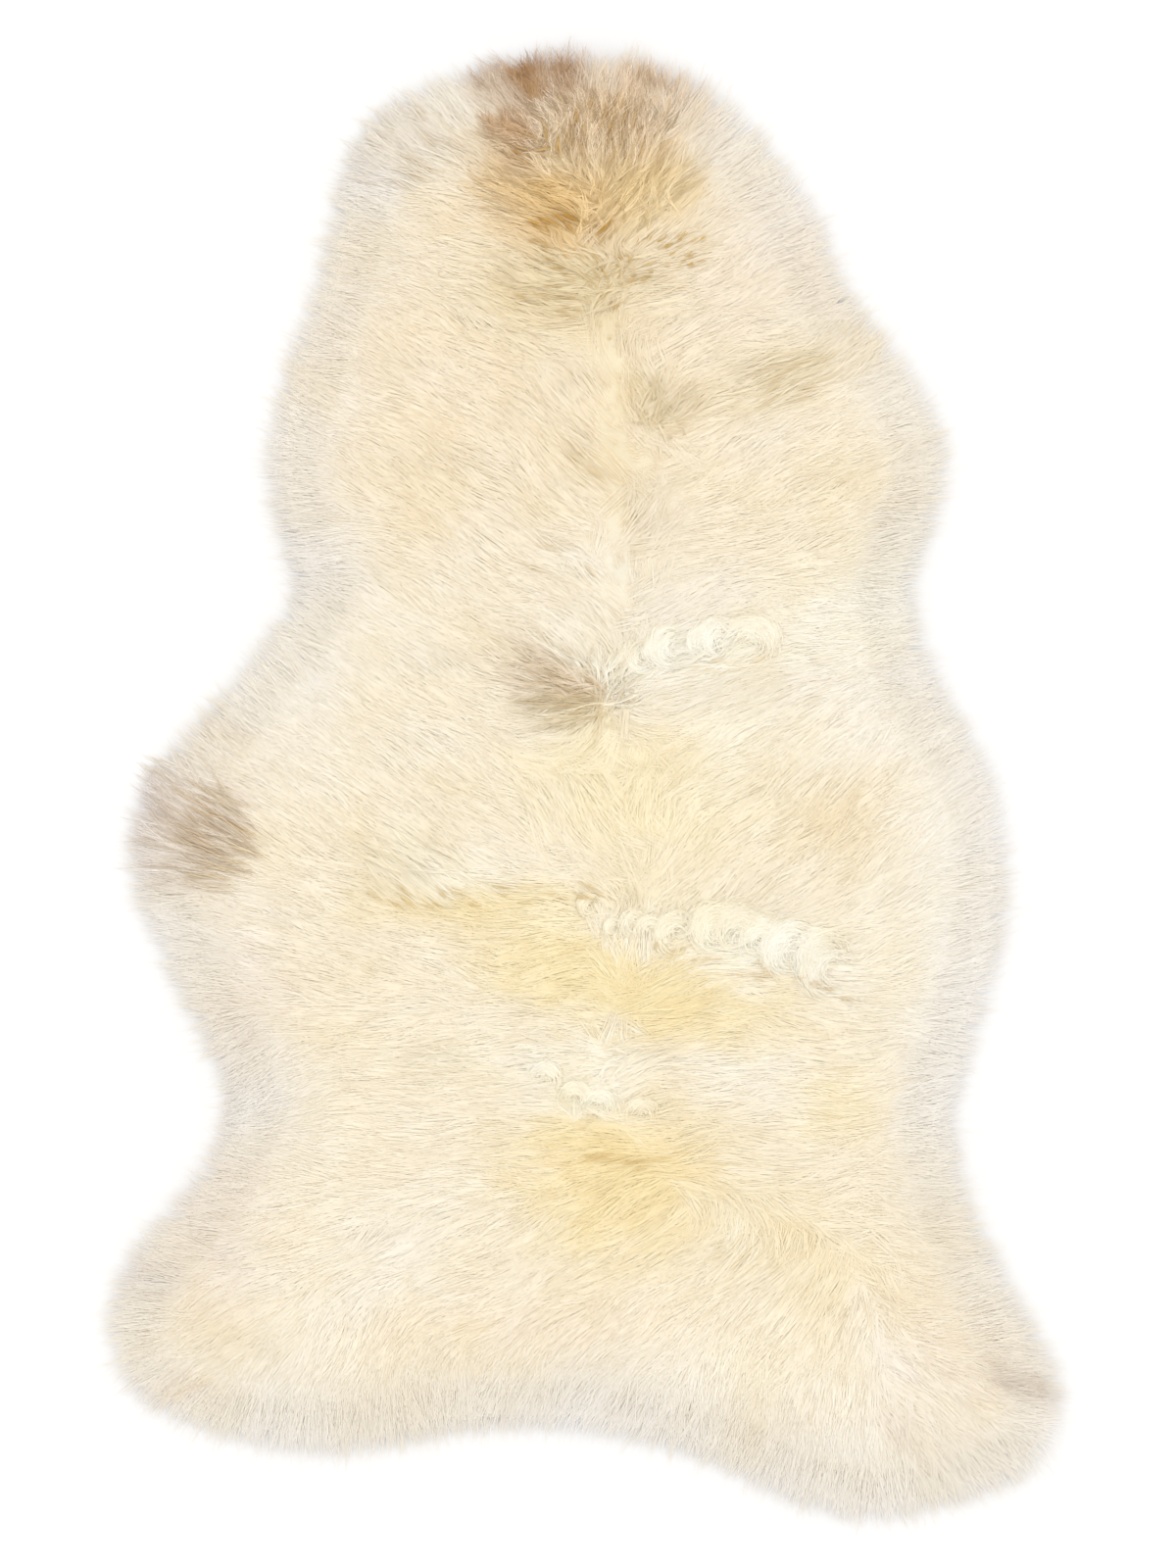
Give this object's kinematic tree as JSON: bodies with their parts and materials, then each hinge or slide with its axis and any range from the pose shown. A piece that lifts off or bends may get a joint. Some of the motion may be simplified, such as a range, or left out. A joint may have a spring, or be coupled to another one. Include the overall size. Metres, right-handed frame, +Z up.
{
  "type": "sheepskin rug",
  "caption": "Flat sheepskin rug in the natural outline of a whole pelt, with long cream wool on top, wisps of wool at its rim and a flat skin underside.",
  "frame": {"origin": "middle of the underside's bounding rectangle, on the surface that the rug lies on", "axes": "+Y along the spine towards the neck, +X across it, +Z up out of the wool"},
  "size_m": [0.6836, 1.0526, 0.0547],
  "materials": {
    "wool": "long lustrous cream wool with tan and grey-brown patches",
    "skin": "matt suede, the tanned underside"
  },
  "bodies": {
    "root": {"sheepskin": "wool"}
  },
  "joints": []
}
